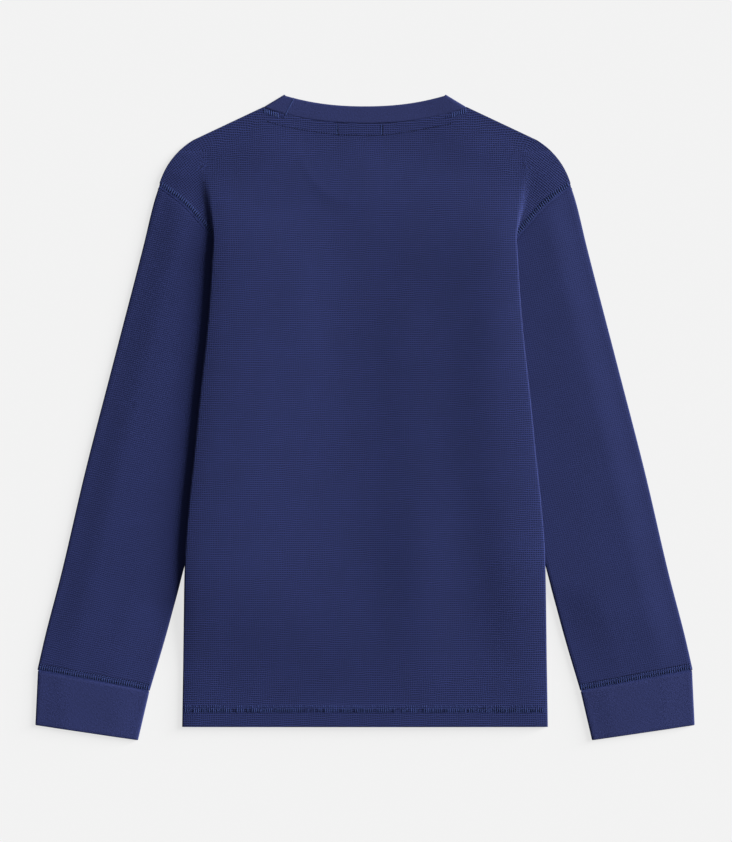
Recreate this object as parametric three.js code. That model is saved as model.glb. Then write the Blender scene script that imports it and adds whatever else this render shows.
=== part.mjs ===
// A long-sleeved thermal top in waffle knit, laid flat on its front with the back up.
// The front panel lies on the surface. The flat sleeves pass between it and the back panel at the
// underarms, and the back panel is pleated over each of them, so that they lie down beside the body.
// Millimetres: x out from the centre line, y up from the hem, z up from the surface.
// Each piece is a sheet worked out from the sizes below, given the thickness of its cloth.
import * as THREE from "three";
import { mergeVertices } from "three/addons/utils/BufferGeometryUtils.js";

// Cloth
const KNIT = 1.4; // thickness of the waffle knit
const RIB = 1.6; // thickness of the doubled jersey of the cuffs and the neckband
const HEM_DEPTH = 21; // of the turned-up hem
const HEM_STEP = 0.5; // what it adds to the thickness
const SEAM_GAP = 0.4; // between two pieces at a seam
const FOLD_R = 1; // radius down the middle of the cloth where it is pressed back on itself
const SIDE_R = 2.2; // the same for the soft side fold of the body over the sleeve
const ROLL_STEPS = 4; // facets of a half turn
const WELD = 1e-3; // points closer than this are one
const FINE = 48; // points along a curve before it is shared out evenly

// Outline of the shoulder and the neck, as half widths and heights above the hem
const SHOULDER_POINT = { x: 101.5, y: 620.3 }; // where the neck seam meets the shoulder
const NECK_PEAK = { x: 80.5, y: 633 }; // top corner of the neckband, where it folds from back to front
const BACK_NECK = { seam: 603.5, seamPower: 2.25, edge: 621, edgePower: 2.2 };
const FRONT_NECK = { seam: 521, seamPower: 3.6, edge: 539, edgePower: 3.4 };
const SHOULDER_TURN = { start: [172, 587], corner: [198, 571] }; // round end of the shoulder
const SLEEVE_LEAN = 0.25; // how far the sleeve's outer fold goes out for each millimetre down
const SHOULDER_FALL = 0.506; // drop of the shoulder line for each millimetre outwards

// The armhole seam as laid: from the outer fold of the sleeve to the hidden underarm
const ARMHOLE = [
  { y: 541, x: 206.5 },
  { y: 527.6, x: 188 },
  { y: 515.6, x: 175 },
  { y: 503, x: 164 },
  { y: 489, x: 152 },
  { y: 466, x: 135.5 },
  { y: 444, x: 122 },
  { y: 420, x: 108.5 },
];
const ARMHOLE_CLEAR = { x: 0.5, y: -0.7 }; // from the seam line to the end of the sleeve
const ARMHOLE_FOLD_Y = 489; // where it goes under the side fold
const SLEEVE_TOP_Y = 541;
const UNDERARM_Y = 420;
const SLEEVE_LEAVES_Y = 158; // where the sleeve comes out from under the body
const PLEAT_TOP_Y = 555; // where the pleat over the sleeve starts
const PLEAT_END_Y = 466; // where its hidden fold reaches the armhole seam

// The side fold of the body, from the hem to the top of the pleat
const SIDE_FOLD = [
  { y: 0, x: 183 },
  { y: 62, x: 182 },
  { y: 159, x: 180 },
  { y: 180, x: 179.3 },
  { y: 226, x: 175.6 },
  { y: 267, x: 171.2 },
  { y: 328, x: 165.2 },
  { y: 394, x: 158 },
  { y: 427, x: 155.2 },
  { y: 461, x: 153 },
  { y: 491, x: 151.5 },
  { y: 520, x: 154.5 },
  { y: 555, x: 162 },
];

// The sleeve: its outer fold and its underarm seam, down to the cuff
const SLEEVE_OUTER = [
  { y: 541, x: 206.5 },
  { y: 527, x: 211 },
  { y: 482, x: 222 },
  { y: 362, x: 253 },
  { y: 257, x: 280 },
  { y: 152, x: 304.5 },
  { y: 92, x: 320 },
  { y: 57, x: 328 },
];
const SLEEVE_INNER = [
  { y: 420, x: 108.5 },
  { y: 152, x: 183 },
  { y: 92, x: 199 },
  { y: 36, x: 215.5 },
];
const CUFF = {
  outerTop: [327.4, 56.4],
  innerTop: [215.8, 35.3],
  outerEnd: [329, 2],
  innerEnd: [227, -12.5],
};

// Heights of the middle of each layer above the surface
const ON_FLOOR = KNIT / 2;
const OVER_FRONT = ON_FLOOR + KNIT + SEAM_GAP;
const TUBE_GAP = 2 * FOLD_R; // from the lower to the upper layer of a sleeve at its folds
const BACK_REST = ON_FLOOR + TUBE_GAP;
const LOFT = 2; // how far the upper layer stands up between its edges
const LOFT_WIDTH = 42; // how far in from an edge it is reached
const CUFF_LOFT = 0.8; // the same for a cuff
const CUFF_LOFT_WIDTH = 30;
const LEAST_LOFT = 0.3; // share of it that is left beside a cuff and above the hem
const FLATTEN_CUFF = { from: 24, to: 104, lean: 0.2 }; // heights over which a sleeve flattens out
const FLATTEN_HEM = 70;
const BACK_IN_NECK = 2.1; // the back panel where nothing but the neck opening is under it
const FOLD_OVER_SLEEVE = OVER_FRONT + TUBE_GAP + 2 * FOLD_R + 2 * SIDE_R;
const FOLD_AT_HEM = 3.4;
const FOLD_SINKS = { from: 50, to: 165 }; // heights over which the side fold comes down past the sleeve
const SIDE_OPENS = { from: 60, to: 150 }; // heights over which its half turn opens to a quarter
const BAND_CLEAR = 1.6; // from the shoulder point to the fold of the neckband
const RETURN_LEAST = 0.6; // least width that is turned in at the side
const CLIMB = { from: 34, to: 5 }; // before the sleeve's edge, where the back panel climbs over it
const LIFT_ACROSS = { from: 28, to: 12 }; // outside the body, where a sleeve is lifted on to the front
const LIFT_BELOW = { from: 42, to: 8 }; // the same, below the place where it leaves the body
const LIFT_ABOVE = 505; // from here up to its top the sleeve is let down again
const VALLEY = { width: 50, ends: 500 }; // beside the side fold, where a sleeve stays low
const PLEAT_TURNED = 0.6; // share of the pleat's length after which it is turned over
const PLEAT_DEEPENS = 0.4; // share after which it goes back under the body
const NECK_SINKS = { outside: 4, inside: 22, widest: 92.5, whole: 55 }; // over the front neck opening
const BAND_SINKS = 0.55; // share of the band's length from the middle over which it lies low

// Soft troughs and ridges of the back, each along a straight line
const BACK_FOLDS = [
  { x0: 112, y0: 440, x1: 100, y1: 240, width: 26, height: -1.1 },
  { x0: 66, y0: 470, x1: 74, y1: 190, width: 24, height: 0.9 },
  { x0: 34, y0: 250, x1: 46, y1: 95, width: 24, height: -1.1 },
  { x0: -12, y0: 430, x1: 4, y1: 210, width: 30, height: 0.5 },
  { x0: -92, y0: 450, x1: -80, y1: 230, width: 28, height: -0.8 },
  { x0: -118, y0: 210, x1: -104, y1: 60, width: 24, height: 0.6 },
  { x0: 120, y0: 170, x1: 128, y1: 40, width: 22, height: 0.7 },
];

// Numbers of columns and rows
const NECK_COLUMNS = 9;
const SHOULDER_COLUMNS = 4;
const MAIN_COLUMNS = NECK_COLUMNS + SHOULDER_COLUMNS;
const RETURN_COLUMNS = 2;
const WING_COLUMNS = 4;
const LOWER_ROWS = 18;
const FRONT_ROWS = 18;
const PLEAT_ROWS = 10;
const WING_ROWS = 2;
const UPPER_ROWS = 5;
const SLEEVE_COLUMNS = 12;
const SLEEVE_ROWS = 16;
const CUFF_ROWS = 4;
const BAND_ROWS = 3;

const { lerp, clamp } = THREE.MathUtils;
const vec2 = (x, y) => new THREE.Vector2(x, y);
const shares = (count) => Array.from({ length: count + 1 }, (_, i) => i / count);

// Rises smoothly from 0 to 1 as the value goes from one bound to the other.
function ramp(from, to, value) {
  const share = clamp((value - from) / (to - from), 0, 1);
  return share * share * (3 - 2 * share);
}

// A smooth curve through the rows of a table, read as x for a height y.
function readTable(table) {
  const rows = [...table].sort((a, b) => a.y - b.y);
  const last = rows.length - 1;
  const slope = (i) => (rows[i + 1].x - rows[i].x) / (rows[i + 1].y - rows[i].y);
  const tangents = rows.map((_, i) => (slope(Math.max(i - 1, 0)) + slope(Math.min(i, last - 1))) / 2);
  return (y) => {
    const above = rows.findIndex((row) => row.y > y);
    const i = above < 0 ? last - 1 : Math.max(above - 1, 0);
    const span = rows[i + 1].y - rows[i].y;
    const t = clamp((y - rows[i].y) / span, 0, 1);
    const near = (1 + 2 * t) * (1 - t) ** 2 * rows[i].x + t * (1 - t) ** 2 * span * tangents[i];
    const far = t * t * (3 - 2 * t) * rows[i + 1].x + t * t * (t - 1) * span * tangents[i + 1];
    return near + far;
  };
}
const armhole = readTable(ARMHOLE);
const sideFold = readTable(SIDE_FOLD);
const sleeveOuter = readTable(SLEEVE_OUTER);
const sleeveInner = readTable(SLEEVE_INNER);

// The shoulder's outline from the round end at the top of the sleeve to the neck.
const shoulderTurn = new THREE.QuadraticBezierCurve(
  vec2(armhole(SLEEVE_TOP_Y), SLEEVE_TOP_Y),
  vec2(...SHOULDER_TURN.corner),
  vec2(...SHOULDER_TURN.start),
);

// How far out the round end of the shoulder is at a height.
function shoulderOuter(y) {
  const points = shoulderTurn.getPoints(FINE);
  const above = Math.max(1, points.findIndex((p) => p.y >= y));
  const [a, b] = [points[above - 1], points[above]];
  return lerp(a.x, b.x, clamp((y - a.y) / (b.y - a.y), 0, 1));
}

// Half of a neck curve as even points from the centre line out, flat in the middle, steep at the end.
function neckHalf(middle, end, power, columns) {
  const fine = shares(FINE).map((u) => vec2(u * end.x, middle + (end.y - middle) * u ** power));
  return new THREE.SplineCurve(fine).getSpacedPoints(columns);
}

// The band folds from back to front along the line from the shoulder point to the peak.
const bandEnd = vec2(NECK_PEAK.x - SHOULDER_POINT.x, NECK_PEAK.y - SHOULDER_POINT.y).normalize();
const bandOut = vec2(bandEnd.y, -bandEnd.x);
const bandInset = FOLD_R + RIB / 2;
const bandSeamEnd = vec2(SHOULDER_POINT.x, SHOULDER_POINT.y)
  .addScaledVector(bandEnd, BAND_CLEAR)
  .addScaledVector(bandOut, -bandInset);
const panelCorner = vec2(SHOULDER_POINT.x, SHOULDER_POINT.y).addScaledVector(bandEnd, -SEAM_GAP);
const bandEdgeEnd = vec2(NECK_PEAK.x, NECK_PEAK.y).addScaledVector(bandOut, -bandInset);

// Moves a line of points sideways, towards the hem where the line runs outwards.
function beside(points, distance) {
  return points.map((p, i) => {
    const along = points[Math.min(i + 1, points.length - 1)].clone().sub(points[Math.max(i - 1, 0)]);
    if (i === 0) along.y = 0;
    along.normalize();
    return vec2(p.x + along.y * distance, p.y - along.x * distance);
  });
}

// How far a point is inside the shoulder line and the outer fold of the sleeve.
function insideOutline(x, y) {
  const fall = SHOULDER_POINT.y - y - SHOULDER_FALL * (x - SHOULDER_POINT.x);
  const across = (sleeveOuter(y) - x) * Math.cos(Math.atan(SLEEVE_LEAN));
  return Math.max(0, Math.min(fall * Math.cos(Math.atan(SHOULDER_FALL)), across));
}

// The lower layer of a sleeve lies on the surface, and is lifted where the front panel is under it.
function sleeveBottom(x, y) {
  const across = ramp(sideFold(y) + LIFT_ACROSS.from, sideFold(y) + LIFT_ACROSS.to, x);
  const below = ramp(SLEEVE_LEAVES_Y - LIFT_BELOW.from, SLEEVE_LEAVES_Y - LIFT_BELOW.to, y);
  const above = 1 - ramp(LIFT_ABOVE, SLEEVE_TOP_Y, y);
  return lerp(ON_FLOOR, OVER_FRONT, across * below * above);
}

// The upper layer of a sleeve, and the outer end of the back panel that runs on into it.
function sleeveTop(x, y) {
  const innerFold = y < SLEEVE_LEAVES_Y ? sleeveInner(y) : sideFold(y);
  const valley = lerp(ramp(0, VALLEY.width, x - innerFold), 1, ramp(VALLEY.ends, PLEAT_TOP_Y, y));
  const fromCuff = y + FLATTEN_CUFF.lean * (x - CUFF.outerTop[0]);
  const towardsCuff = lerp(LEAST_LOFT, 1, ramp(FLATTEN_CUFF.from, FLATTEN_CUFF.to, fromCuff));
  const loft = LOFT * ramp(0, LOFT_WIDTH, insideOutline(x, y)) * valley * towardsCuff;
  return sleeveBottom(x, y) + TUBE_GAP + loft;
}

// The sum of the soft folds of the back at a point.
function softFolds(x, y) {
  return BACK_FOLDS.reduce((sum, fold) => {
    const along = vec2(fold.x1 - fold.x0, fold.y1 - fold.y0);
    const from = vec2(x - fold.x0, y - fold.y0);
    const t = clamp(from.dot(along) / along.lengthSq(), 0, 1);
    const away = from.addScaledVector(along, -t).length() / fold.width;
    return sum + fold.height * Math.exp(-away * away) * Math.sin(Math.PI * clamp(t, 0.12, 0.88));
  }, 0);
}

// The pleat, by height: how far it has turned over and how deep it goes back under the body.
const pleatShare = (y) => (PLEAT_TOP_Y - y) / (PLEAT_TOP_Y - PLEAT_END_Y);
function turnOf(y) {
  if (y >= PLEAT_END_Y) return Math.PI * ramp(0, PLEAT_TURNED, pleatShare(y));
  return Math.PI * lerp(0.5, 1, ramp(SIDE_OPENS.from, SIDE_OPENS.to, y));
}
function radiusOf(y) {
  const share = y >= PLEAT_END_Y ? ramp(0, 1, pleatShare(y)) : ramp(SIDE_OPENS.from, SIDE_OPENS.to, y);
  return lerp(FOLD_R, SIDE_R, share);
}
const foldStart = (y) => sideFold(y) - (radiusOf(y) + KNIT / 2) * Math.sin(Math.min(turnOf(y), Math.PI / 2));
function returnOf(y) {
  if (y >= PLEAT_END_Y) {
    const deepest = foldStart(PLEAT_END_Y) - armhole(PLEAT_END_Y);
    return deepest * ramp(PLEAT_DEEPENS, 1, pleatShare(y));
  }
  const edge = y > UNDERARM_Y ? armhole(y) : sleeveInner(y);
  return Math.max(RETURN_LEAST, foldStart(y) - edge);
}

// Height of the back panel at the side fold.
function foldTop(y) {
  if (y < PLEAT_END_Y) {
    return lerp(FOLD_AT_HEM, FOLD_OVER_SLEEVE, ramp(FOLD_SINKS.from, FOLD_SINKS.to, y));
  }
  const turn = turnOf(y);
  const drop = (radiusOf(y) + FOLD_R) * (1 - Math.cos(turn)) + returnOf(y) * Math.sin(turn);
  return sleeveTop(foldStart(y), y) + drop;
}

// The back panel away from the sleeves. It sinks into the front neck opening under it.
function freeHeight(side, x, y) {
  const share = x / NECK_PEAK.x;
  const neckLine = lerp(FRONT_NECK.edge, NECK_PEAK.y, share ** FRONT_NECK.edgePower);
  const sunk = ramp(neckLine - NECK_SINKS.outside, neckLine + NECK_SINKS.inside, y);
  const opening = sunk * ramp(NECK_SINKS.widest, NECK_SINKS.whole, x);
  const hem = lerp(LEAST_LOFT, 1, ramp(0, FLATTEN_HEM, y));
  const raised = (LOFT * ramp(0, LOFT_WIDTH, insideOutline(x, y)) + softFolds(side * x, y)) * hem;
  return lerp(BACK_REST + raised, BACK_IN_NECK, opening);
}

// The back panel inside its side fold, which climbs over the sleeve.
function mainHeight(side, x, y) {
  const innerEdge = foldStart(y) - returnOf(y);
  const climb = ramp(innerEdge - CLIMB.from, innerEdge - CLIMB.to, x);
  return lerp(freeHeight(side, x, y), foldTop(y), climb);
}

// The section of the back panel at the side: over the fold, back under it, and out again.
function sideSection(y, outTo) {
  const section = [];
  const turn = turnOf(y);
  const back = returnOf(y);
  const start = foldStart(y);
  const top = foldTop(y);
  const radius = radiusOf(y);
  const put = (x, z) => section.push(new THREE.Vector3(x, y, z));
  for (const u of shares(ROLL_STEPS).slice(1)) {
    put(start + radius * Math.sin(turn * u), top - radius * (1 - Math.cos(turn * u)));
  }
  const bent = section.at(-1);
  for (const u of shares(RETURN_COLUMNS).slice(1)) {
    put(bent.x + back * u * Math.cos(turn), bent.z - back * u * Math.sin(turn));
  }
  if (outTo === null) return section;
  const inner = section.at(-1);
  const centre = { x: inner.x + FOLD_R * Math.sin(turn), z: inner.z + FOLD_R * Math.cos(turn) };
  for (const u of shares(ROLL_STEPS).slice(1)) {
    const angle = turn * (1 - u);
    put(centre.x - FOLD_R * Math.sin(angle), centre.z - FOLD_R * Math.cos(angle));
  }
  const out = section.at(-1);
  for (const u of shares(WING_COLUMNS).slice(1)) {
    const x = lerp(out.x, Math.max(out.x, outTo), u);
    put(x, lerp(out.z, sleeveTop(x, y), u));
  }
  return section;
}

// A row of the back panel below the neck, from the centre line outwards.
function backRow(side, y, outTo) {
  const row = shares(MAIN_COLUMNS).map((u) => {
    const x = u * foldStart(y);
    return new THREE.Vector3(x, y, mainHeight(side, x, y));
  });
  return [...row, ...sideSection(y, outTo)];
}

// The points of the shoulder line and the round end that the columns of a panel run up to.
function shoulderPoints(columns) {
  const turn = vec2(...SHOULDER_TURN.start);
  return shares(columns).slice(1).map((u) => panelCorner.clone().lerp(turn, u));
}

// A grid of points as rows from the centre line out. A mirrored grid makes the other half.
function gridSheet(rows, mirrored) {
  const points = [];
  const faces = [];
  const first = rows.map((row) => {
    const start = points.length / 3;
    row.forEach((p) => points.push(mirrored ? -p.x : p.x, p.y, p.z));
    return start;
  });
  for (let j = 0; j + 1 < rows.length; j++) {
    for (let i = 0; i + 1 < Math.min(rows[j].length, rows[j + 1].length); i++) {
      const [a, b, c, d] = [first[j] + i, first[j] + i + 1, first[j + 1] + i + 1, first[j + 1] + i];
      faces.push(...(mirrored ? [a, c, b, a, d, c] : [a, b, c, a, c, d]));
    }
  }
  return { points, faces };
}

// Gives sheets their thickness: an upper and a lower face, and a wall along every free edge.
function cloth(sheets, thickness, step = () => 0) {
  const points = [];
  const faces = [];
  for (const sheet of sheets) {
    const start = points.length / 3;
    points.push(...sheet.points);
    faces.push(...sheet.faces.map((i) => i + start));
  }
  const raw = new THREE.BufferGeometry();
  raw.setAttribute("position", new THREE.Float32BufferAttribute(points, 3));
  raw.setIndex(faces);
  const middle = mergeVertices(raw, WELD);
  middle.computeVertexNormals();
  const { position, normal } = middle.attributes;
  const count = position.count;
  const vertices = [];
  for (const way of [1, -1]) {
    for (let i = 0; i < count; i++) {
      const p = new THREE.Vector3().fromBufferAttribute(position, i);
      const n = new THREE.Vector3().fromBufferAttribute(normal, i);
      const half = thickness / 2 + (way > 0 ? step(p) : 0);
      p.addScaledVector(n, way * half);
      vertices.push(p.x, p.y, p.z);
    }
  }
  const index = Array.from(middle.index.array);
  const edges = new Set();
  const solid = [];
  for (let f = 0; f < index.length; f += 3) {
    const corner = index.slice(f, f + 3);
    if (new Set(corner).size < 3) continue;
    solid.push(...corner, corner[2] + count, corner[1] + count, corner[0] + count);
    corner.forEach((a, k) => edges.add(`${a},${corner[(k + 1) % 3]}`));
  }
  for (const edge of edges) {
    const [a, b] = edge.split(",").map(Number);
    if (!edges.has(`${b},${a}`)) solid.push(b, a, a + count, b, a + count, b + count);
  }
  const geometry = new THREE.BufferGeometry();
  geometry.setAttribute("position", new THREE.Float32BufferAttribute(vertices, 3));
  geometry.setIndex(solid);
  return geometry;
}

// Back panel, one half: below the pleat, the pleat and its outer wing, and the shoulder
function backHalf(side) {
  const hemRows = [0, HEM_DEPTH - 1, HEM_DEPTH + 1];
  const rows = hemRows.map((y) => backRow(side, y, null));
  for (const v of shares(LOWER_ROWS).slice(1, -1)) {
    rows.push(backRow(side, lerp(hemRows.at(-1), PLEAT_END_Y, v), null));
  }
  for (const v of shares(PLEAT_ROWS)) {
    const y = lerp(PLEAT_END_Y, SLEEVE_TOP_Y, v);
    rows.push(backRow(side, y, armhole(y) - SEAM_GAP / 2));
  }
  for (const v of shares(WING_ROWS).slice(1)) {
    const y = lerp(SLEEVE_TOP_Y, PLEAT_TOP_Y, v);
    rows.push(backRow(side, y, shoulderOuter(y)));
  }

  const pleatColumns = 2 * ROLL_STEPS + RETURN_COLUMNS;
  const bottom = rows.at(-1).filter((_, i) => i <= MAIN_COLUMNS || i > MAIN_COLUMNS + pleatColumns);
  const neck = beside(
    neckHalf(BACK_NECK.seam + SEAM_GAP, bandSeamEnd, BACK_NECK.seamPower, NECK_COLUMNS),
    SEAM_GAP,
  );
  neck[NECK_COLUMNS] = panelCorner.clone();
  const outer = shoulderTurn.getPoints(FINE).filter((p) => p.y > PLEAT_TOP_Y).reverse();
  const round = new THREE.SplineCurve([...outer, vec2(shoulderOuter(PLEAT_TOP_Y), PLEAT_TOP_Y)]);
  const top = [...neck, ...shoulderPoints(SHOULDER_COLUMNS), ...round.getSpacedPoints(WING_COLUMNS).slice(1)];
  const upper = [];
  for (const v of shares(UPPER_ROWS)) {
    upper.push(bottom.map((p, i) => {
      if (v === 0) return p;
      const x = lerp(p.x, top[i].x, v);
      const y = lerp(p.y, top[i].y, v);
      return new THREE.Vector3(x, y, freeHeight(side, x, y));
    }));
  }
  return [gridSheet(rows, side < 0), gridSheet(upper, side < 0)];
}
const hemStep = (p) => (p.y < HEM_DEPTH ? HEM_STEP : 0);
const back = cloth([...backHalf(1), ...backHalf(-1)], KNIT, hemStep);

// Front panel, one half: flat on the surface, from the hem to the neck and out to the armhole
function frontHalf(side) {
  const put = (x, y) => new THREE.Vector3(x, y, ON_FLOOR);
  const base = ARMHOLE_FOLD_Y;
  const inset = SEAM_GAP;
  const rows = shares(FRONT_ROWS).map((v) => {
    const y = lerp(0, base, v);
    return shares(MAIN_COLUMNS).map((u) => put(u * (sideFold(y) - inset), y));
  });
  const neck = beside(
    neckHalf(FRONT_NECK.seam + SEAM_GAP, bandSeamEnd, FRONT_NECK.seamPower, NECK_COLUMNS),
    SEAM_GAP,
  );
  neck[NECK_COLUMNS] = panelCorner.clone();
  const turn = [vec2(...SHOULDER_TURN.start), ...shoulderTurn.getPoints(2).slice(0, 2).reverse()];
  const shoulder = [...shoulderPoints(SHOULDER_COLUMNS - 2).slice(0, -1), ...turn];
  const top = [...neck, ...shoulder].slice(0, MAIN_COLUMNS + 1);
  const bottom = rows.at(-1);
  const edgeTop = top.at(-1);
  const upper = shares(UPPER_ROWS + 2).map((v) => bottom.map((p, i) => {
    if (v === 0) return p;
    const share = i / MAIN_COLUMNS;
    const seamY = lerp(base, edgeTop.y, v);
    const bow = armhole(seamY) - inset - lerp(bottom.at(-1).x, edgeTop.x, v);
    const x = lerp(p.x, top[i].x, v) + bow * share ** 4;
    return put(x, lerp(p.y, top[i].y, v));
  }));
  return [gridSheet(rows, side < 0), gridSheet(upper, side < 0)];
}
const front = cloth([...frontHalf(1), ...frontHalf(-1)], KNIT);

// A flat tube between four edges: rings of points over the top, round the inner fold and back under.
// The edges run from the outer fold to the inner one (start, end) and along it (outer, inner).
function tubeSheet({ start, end, outer, inner, low, high, rows, thickness, mirrored }) {
  const at = (s, t) => {
    const p = outer(t).multiplyScalar(1 - s).addScaledVector(inner(t), s);
    p.addScaledVector(start(s), 1 - t).addScaledVector(end(s), t);
    p.addScaledVector(start(0), -(1 - s) * (1 - t)).addScaledVector(start(1), -s * (1 - t));
    return p.addScaledVector(end(0), -(1 - s) * t).addScaledVector(end(1), -s * t);
  };
  const rings = shares(rows).map((t) => {
    const width = at(0, t).distanceTo(at(1, t));
    const inset = (FOLD_R + thickness / 2) / width;
    const columns = shares(SLEEVE_COLUMNS).map((u) => at(lerp(inset, 1 - inset, u), t));
    const layer = (points, height) => points.map((p) => new THREE.Vector3(p.x, p.y, height(p.x, p.y)));
    const fold = (centre, tip, way) => {
      const out = tip.clone().sub(centre).normalize();
      const [bottom, top] = [low(centre.x, centre.y), high(centre.x, centre.y)];
      const radius = (top - bottom) / 2;
      return shares(ROLL_STEPS).slice(1, -1).map((u) => {
        const p = centre.clone().addScaledVector(out, radius * Math.sin(Math.PI * u));
        return new THREE.Vector3(p.x, p.y, (top + bottom) / 2 + way * radius * Math.cos(Math.PI * u));
      });
    };
    const ring = [
      ...layer(columns, high),
      ...fold(columns.at(-1), at(1, t), 1),
      ...layer(columns.toReversed(), low),
      ...fold(columns[0], at(0, t), -1),
    ];
    return [...ring, ring[0]];
  });
  return gridSheet(rings, mirrored);
}

// Sleeve
const sleeveStart = (s) => {
  const y = lerp(SLEEVE_TOP_Y, UNDERARM_Y, s);
  return vec2(armhole(y) + ARMHOLE_CLEAR.x, y + ARMHOLE_CLEAR.y);
};
const sleeveSide = (table, read) => (t) => {
  const y = lerp(table[0].y, table.at(-1).y, t);
  return vec2(read(y) + ARMHOLE_CLEAR.x * (1 - t), y + ARMHOLE_CLEAR.y * (1 - t));
};
const sleeve = (mirrored) => cloth([tubeSheet({
  start: sleeveStart,
  end: (s) => vec2(...CUFF.outerTop).lerp(vec2(...CUFF.innerTop), s).addScaledVector(vec2(0, 1), SEAM_GAP),
  outer: sleeveSide(SLEEVE_OUTER, sleeveOuter),
  inner: sleeveSide(SLEEVE_INNER, sleeveInner),
  low: sleeveBottom,
  high: sleeveTop,
  rows: SLEEVE_ROWS,
  thickness: KNIT,
  mirrored,
})], KNIT);

// Cuff
const cuffBottom = () => RIB / 2;
function cuffTop(x, y) {
  const lean = (CUFF.innerEnd[0] - CUFF.innerTop[0]) / (CUFF.innerTop[1] - CUFF.innerEnd[1]);
  const innerFold = CUFF.innerTop[0] + lean * (CUFF.innerTop[1] - y);
  const loft = ramp(0, CUFF_LOFT_WIDTH, CUFF.outerTop[0] - x) * ramp(0, CUFF_LOFT_WIDTH, x - innerFold);
  return cuffBottom() + TUBE_GAP + CUFF_LOFT * loft;
}
const between = (a, b) => (s) => vec2(...a).lerp(vec2(...b), s);
const cuff = (mirrored) => cloth([tubeSheet({
  start: between(CUFF.outerTop, CUFF.innerTop),
  end: between(CUFF.outerEnd, CUFF.innerEnd),
  outer: between(CUFF.outerTop, CUFF.outerEnd),
  inner: between(CUFF.innerTop, CUFF.innerEnd),
  low: cuffBottom,
  high: cuffTop,
  rows: CUFF_ROWS,
  thickness: RIB,
  mirrored,
})], RIB);

// Neckband: a ring that folds at the shoulders, its front half flat on the surface
function bandHalf(side) {
  const halves = [BACK_NECK, FRONT_NECK].map((neck) => ({
    seam: neckHalf(neck.seam + SEAM_GAP, bandSeamEnd, neck.seamPower, NECK_COLUMNS),
    edge: neckHalf(neck.edge, bandEdgeEnd, neck.edgePower, NECK_COLUMNS),
  }));
  const floor = RIB / 2;
  const top = floor + 2 * FOLD_R;
  const rise = (i) => lerp(BACK_IN_NECK, top, ramp(BAND_SINKS, 1, i / NECK_COLUMNS));
  const rows = shares(BAND_ROWS).map((v) => {
    const [over, under] = halves.map(({ seam, edge }) => seam.map((p, i) => p.clone().lerp(edge[i], v)));
    const end = over.at(-1);
    const fold = shares(ROLL_STEPS).slice(1, -1).map((u) => {
      const p = end.clone().addScaledVector(bandOut, FOLD_R * Math.sin(Math.PI * u));
      return new THREE.Vector3(p.x, p.y, floor + FOLD_R + FOLD_R * Math.cos(Math.PI * u));
    });
    return [
      ...over.map((p, i) => new THREE.Vector3(p.x, p.y, rise(i))),
      ...fold,
      ...under.toReversed().map((p) => new THREE.Vector3(p.x, p.y, floor)),
    ];
  });
  return gridSheet(rows, side < 0);
}
const neckband = cloth([bandHalf(1), bandHalf(-1)], RIB);

// The pieces, with the origin under the middle of what they cover
const NAVY = 0x2c335c;
const NAVY_RIB = 0x323861;
const PIECES = {
  back: [back, NAVY],
  front: [front, NAVY],
  sleeve_left: [sleeve(true), NAVY],
  sleeve_right: [sleeve(false), NAVY],
  cuff_left: [cuff(true), NAVY_RIB],
  cuff_right: [cuff(false), NAVY_RIB],
  neckband: [neckband, NAVY_RIB],
};
const garment = new THREE.Group();
const middleY = (NECK_PEAK.y + CUFF.innerEnd[1]) / 2;
for (const [name, [geometry, colour]] of Object.entries(PIECES)) {
  geometry.translate(0, -middleY, 0);
  const mesh = new THREE.Mesh(geometry, new THREE.MeshStandardMaterial({ color: colour, roughness: 0.95 }));
  mesh.name = name;
  garment.add(mesh);
}
export default garment;
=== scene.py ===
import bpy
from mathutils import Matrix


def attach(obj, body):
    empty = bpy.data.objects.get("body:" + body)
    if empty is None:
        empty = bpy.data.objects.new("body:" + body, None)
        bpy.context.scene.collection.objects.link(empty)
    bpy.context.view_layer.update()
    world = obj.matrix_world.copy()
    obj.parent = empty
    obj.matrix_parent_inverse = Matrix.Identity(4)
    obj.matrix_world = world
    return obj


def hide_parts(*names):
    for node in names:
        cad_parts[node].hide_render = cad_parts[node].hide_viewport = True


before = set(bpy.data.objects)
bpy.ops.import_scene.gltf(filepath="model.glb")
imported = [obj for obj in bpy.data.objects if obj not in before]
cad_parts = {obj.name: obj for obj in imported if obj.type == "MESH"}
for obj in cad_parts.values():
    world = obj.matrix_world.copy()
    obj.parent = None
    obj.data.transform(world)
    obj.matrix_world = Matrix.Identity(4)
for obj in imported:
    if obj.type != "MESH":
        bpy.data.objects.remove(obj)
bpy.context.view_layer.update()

import math
import random

import bmesh
import bpy
from mathutils import Matrix, Vector

# Front panel
# The front is one piece of waffle knit, cut on the fold with a deep round neck. It lies on the surface
# with its right side down and everything else on it, so it is flat. All sizes are in millimetres.
KNIT = 1.3
FLOOR_LAYER = 0.7
MIDDLE_Y = 310.25
SEAM_GAP = 0.2
# The side folds and the armhole seams, as half widths at heights above the hem.
SIDE_FOLD = [
    (0, 183), (62, 182), (159, 180), (180, 179.3), (226, 175.6), (267, 171.2), (328, 165.2),
    (394, 158), (427, 155.2), (461, 153), (491, 151.5), (520, 154.5), (555, 162),
]
ARMHOLE = [
    (420, 108.5), (444, 122), (466, 135.5), (489, 152), (503, 164), (515.6, 175), (527.6, 188),
    (541, 206.5),
]
SHOULDER_POINT = Vector((101.5, 620.3))
SHOULDER_START = Vector((172, 587))
SHOULDER_CORNER = Vector((198, 571))
SLEEVE_TOP = Vector((206.5, 541))
FRONT_NECK = {"seam": 521, "power": 3.6}
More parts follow.
